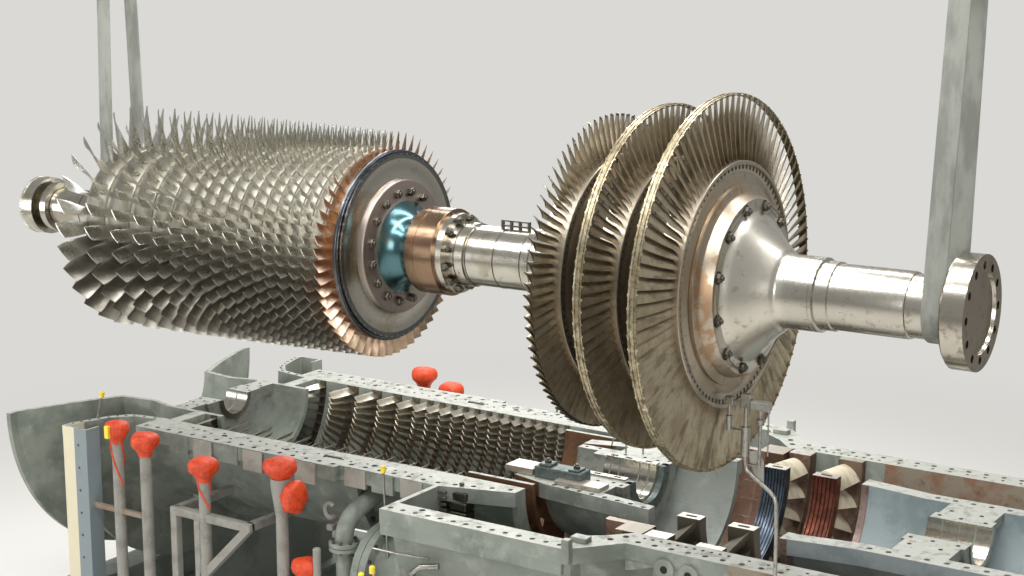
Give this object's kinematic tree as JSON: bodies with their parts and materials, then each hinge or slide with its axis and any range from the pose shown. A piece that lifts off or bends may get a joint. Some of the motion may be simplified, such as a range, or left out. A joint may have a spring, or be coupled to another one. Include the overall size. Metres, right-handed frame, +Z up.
{
  "type": "gas turbine opened for overhaul, rotor hoisted over its lower casing",
  "caption": "Heavy-duty gas turbine with its upper casings off: bladed rotor hung in two slings above and beside the open lower casings on their base frame.",
  "frame": {"origin": "on the floor under the casing centreline, below the face where compressor and turbine rotors are coupled when seated", "axes": "+X along the shaft towards the exhaust and load coupling, +Y away from the hoisted rotor, +Z up"},
  "size_m": [8.9, 4.3469, 6.0375],
  "materials": {
    "compressor_steel": "satin",
    "turbine_alloy": "satin",
    "shaft_steel": "polished",
    "stub_steel": "satin",
    "coupling_steel": "satin",
    "spacer_steel": "matte",
    "sling_webbing": "matte",
    "vane_steel": "satin",
    "bearing_iron": "matte",
    "shroud_alloy": "satin",
    "nozzle_alloy": "matte",
    "hot_casing_steel": "matte",
    "pipe_paint": "matte",
    "base_paint": "satin",
    "casing_paint": "satin"
  },
  "bodies": {
    "root": {"slings": "sling_webbing", "base_frame": "base_paint", "casing_supports": "base_paint", "inlet_casing": "casing_paint", "bearing_1": "bearing_iron", "compressor_casing": "casing_paint", "front_stator_vanes": "vane_steel", "middle_stator_vanes": "vane_steel", "rear_stator_vanes": "vane_steel", "inner_barrel": "casing_paint", "bearing_2": "bearing_iron", "turbine_casing": "casing_paint", "first_shroud": "shroud_alloy", "second_nozzle": "nozzle_alloy", "third_nozzle": "nozzle_alloy", "exhaust_frame": "hot_casing_steel", "exhaust_barrel": "casing_paint", "bearing_3": "bearing_iron", "pipe_stands": "pipe_paint"},
    "rotor": {"front_shaft": "shaft_steel", "compressor_wheel_1": "compressor_steel", "compressor_wheel_2": "compressor_steel", "compressor_wheel_3": "compressor_steel", "compressor_wheel_4": "compressor_steel", "compressor_wheel_5": "compressor_steel", "compressor_wheel_6": "compressor_steel", "compressor_wheel_7": "compressor_steel", "compressor_wheel_8": "compressor_steel", "compressor_wheel_9": "compressor_steel", "compressor_wheel_10": "compressor_steel", "compressor_wheel_11": "compressor_steel", "compressor_wheel_12": "compressor_steel", "compressor_wheel_13": "compressor_steel", "compressor_wheel_14": "compressor_steel", "compressor_wheel_15": "compressor_steel", "compressor_wheel_16": "compressor_steel", "compressor_wheel_17": "compressor_steel", "compressor_rear_stub": "stub_steel", "turbine_front_shaft": "shaft_steel", "turbine_wheel_1": "turbine_alloy", "turbine_wheel_2": "turbine_alloy", "turbine_wheel_3": "turbine_alloy", "turbine_spacers": "spacer_steel", "turbine_rear_shaft": "shaft_steel", "load_coupling": "coupling_steel"}
  },
  "joints": [
    {"name": "rotor_spin", "type": "hinge", "parent": "root", "child": "rotor", "pos_m": [0, -1.46, 3.85], "axis": [1, 0, 0], "continuous": true}
  ]
}
